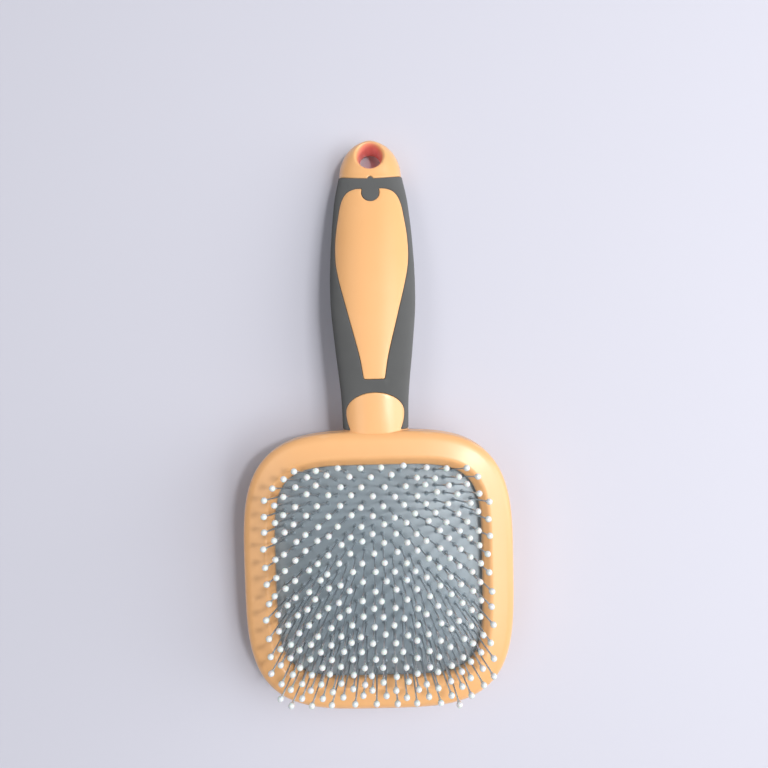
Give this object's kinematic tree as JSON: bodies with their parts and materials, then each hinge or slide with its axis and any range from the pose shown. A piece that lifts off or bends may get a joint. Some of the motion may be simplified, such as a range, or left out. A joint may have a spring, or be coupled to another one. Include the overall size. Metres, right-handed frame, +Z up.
{
  "type": "pet pin brush",
  "caption": "Pet pin brush: rounded-square head with a domed rubber pad of ball-tipped pins, on a soft-grip handle with a hang hole.",
  "frame": {"origin": "on the surface that the brush lies on with its pins up, under the middle of its outline", "axes": "+Y towards the handle's end and hang hole, +Z up, the way the pins point, +X to the right seen from above with the handle away"},
  "size_m": [0.0816, 0.1766, 0.0374],
  "materials": {
    "orange_plastic": "satin",
    "grip_rubber": "matte",
    "pad_rubber": "matte",
    "pin_steel": "satin",
    "tip_resin": "gloss",
    "backing_cloth": "matte",
    "cushion_foam": "matte"
  },
  "bodies": {
    "root": {"body_shell": "orange_plastic", "head_frame": "orange_plastic", "grip_sleeve": "grip_rubber", "handle_inlay": "orange_plastic", "foam_cushion": "cushion_foam", "backing_sheet": "backing_cloth", "pin_strip_1": "pad_rubber", "pin_strip_2": "pad_rubber", "pin_strip_3": "pad_rubber", "pin_strip_4": "pad_rubber"}
  },
  "joints": []
}
